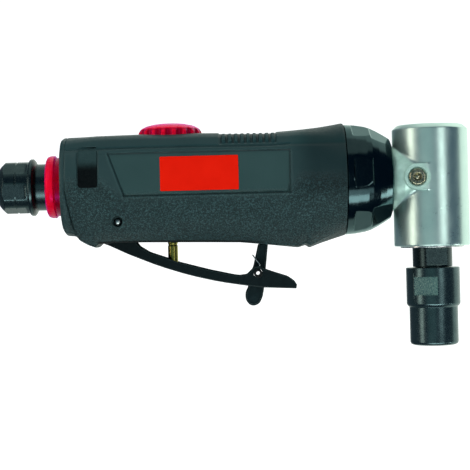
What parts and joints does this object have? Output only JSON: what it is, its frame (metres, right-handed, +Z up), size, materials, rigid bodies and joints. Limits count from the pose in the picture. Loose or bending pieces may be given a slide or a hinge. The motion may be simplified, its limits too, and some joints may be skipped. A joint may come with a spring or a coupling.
{
  "type": "right angle die grinder",
  "caption": "Compact air-powered right-angle die grinder: composite grip with a hinged throttle lever and its lock, a speed regulator knob, a bevel-gear angle head and a collet.",
  "frame": {"origin": "on the motor axis at the middle of the grip, where a hand holds the grinder", "axes": "+X along the motor axis from the air inlet to the angle head, +Z up, away from the output spindle, which points along -Z; -Y is the side with the label"},
  "size_m": [0.1685, 0.0398, 0.0817],
  "materials": {
    "grip_composite": "moulded, fine pebble grain below the side panel",
    "red_plastic": "gloss",
    "red_label": "printed film, satin",
    "black_plate": "satin film",
    "black_oxide_steel": "black oxide, satin",
    "black_gloss": "polished black",
    "black_lever": "satin black",
    "head_aluminium": "turned and brushed",
    "bright_steel": "ground",
    "brass": "turned",
    "rubber": "matt",
    "felt": "felt",
    "vane": "fibre laminate"
  },
  "bodies": {
    "handle": {"housing": "grip_composite", "rear_cover": "grip_composite", "side_label": "red_label", "rear_plate": "black_plate", "air_inlet": "black_oxide_steel", "inlet_o_ring": "rubber", "inlet_screen": "brass", "exhaust_ring": "red_plastic", "exhaust_muffler": "felt", "regulator_o_ring": "rubber", "regulator_retaining_ring": "bright_steel", "valve_bushing": "brass", "stem_o_ring": "rubber", "valve_spring": "bright_steel", "lever_pin": "bright_steel", "rear_end_plate": "bright_steel", "rear_bearing_outer_race": "bright_steel", "rear_bearing_balls": "bright_steel", "cylinder_liner": "bright_steel", "dowel_pin": "bright_steel", "front_end_plate": "bright_steel", "front_bearing_outer_race": "bright_steel", "front_bearing_balls": "bright_steel", "nose_cap": "black_gloss", "angle_head": "head_aluminium", "grease_plug": "brass", "pinion_bearing_outer_race": "bright_steel", "pinion_bearing_balls": "bright_steel", "upper_bearing_outer_race": "bright_steel", "upper_bearing_balls": "bright_steel", "lower_bearing_outer_race": "bright_steel", "lower_bearing_balls": "bright_steel", "bearing_retainer": "bright_steel", "spindle_seal": "rubber"},
    "lever": {"throttle_lever": "black_lever", "lock_pin": "bright_steel"},
    "lock": {"lock_lever": "black_lever", "lock_spring": "bright_steel"},
    "valve": {"throttle_stem": "brass", "valve_plunger": "bright_steel"},
    "knob": {"regulator_knob": "red_plastic", "regulator_sleeve": "brass"},
    "rotor": {"rotor": "bright_steel", "rotor_blade_1": "vane", "rotor_blade_2": "vane", "rotor_blade_3": "vane", "rotor_blade_4": "vane", "pinion_shaft": "bright_steel", "rear_bearing_inner_race": "bright_steel", "front_bearing_inner_race": "bright_steel", "pinion_bearing_inner_race": "bright_steel"},
    "spindle": {"spindle": "black_oxide_steel", "output_gear": "bright_steel", "collet": "bright_steel", "upper_bearing_inner_race": "bright_steel", "lower_bearing_inner_race": "bright_steel"},
    "nut": {"collet_nut": "black_oxide_steel"}
  },
  "joints": [
    {"name": "throttle_lever_press", "type": "hinge", "parent": "handle", "child": "lever", "pos_m": [-0.03008, 0, -0.01324], "axis": [0, -1, 0], "range_deg": [0, 8], "stiffness_Nm_per_rad": 1.5, "springref_deg": -2.86},
    {"name": "lock_lever_swing", "type": "hinge", "parent": "lever", "child": "lock", "pos_m": [0.01869, 0, -0.03275], "axis": [0, -1, 0], "range_deg": [0, 64]},
    {"name": "throttle_valve_lift", "type": "slide", "parent": "handle", "child": "valve", "axis": [0, 0, 1], "range_m": [0, 0.00304], "deforming": ["valve_spring"]},
    {"name": "regulator_turn", "type": "hinge", "parent": "handle", "child": "knob", "pos_m": [-0.0117, 0, 0], "axis": [0, 0, 1], "range_deg": [-90, 90]},
    {"name": "rotor_spin", "type": "hinge", "parent": "handle", "child": "rotor", "pos_m": [0, 0, 0], "axis": [1, 0, 0], "continuous": true},
    {"name": "spindle_spin", "type": "hinge", "parent": "handle", "child": "spindle", "pos_m": [0.0816, 0, 0], "axis": [0, 0, 1], "continuous": true},
    {"name": "collet_nut_turn", "type": "hinge", "parent": "spindle", "child": "nut", "pos_m": [0.0816, 0, -0.045], "axis": [0, 0, -1], "range_deg": [0, 90]}
  ],
  "couplings": [
    {"joint": "lock_lever_swing", "follows": "throttle_lever_press", "ratio": 8},
    {"joint": "throttle_valve_lift", "follows": "throttle_lever_press", "m_per_rad": 0.0217},
    {"joint": "spindle_spin", "follows": "rotor_spin", "ratio": -0.8}
  ]
}
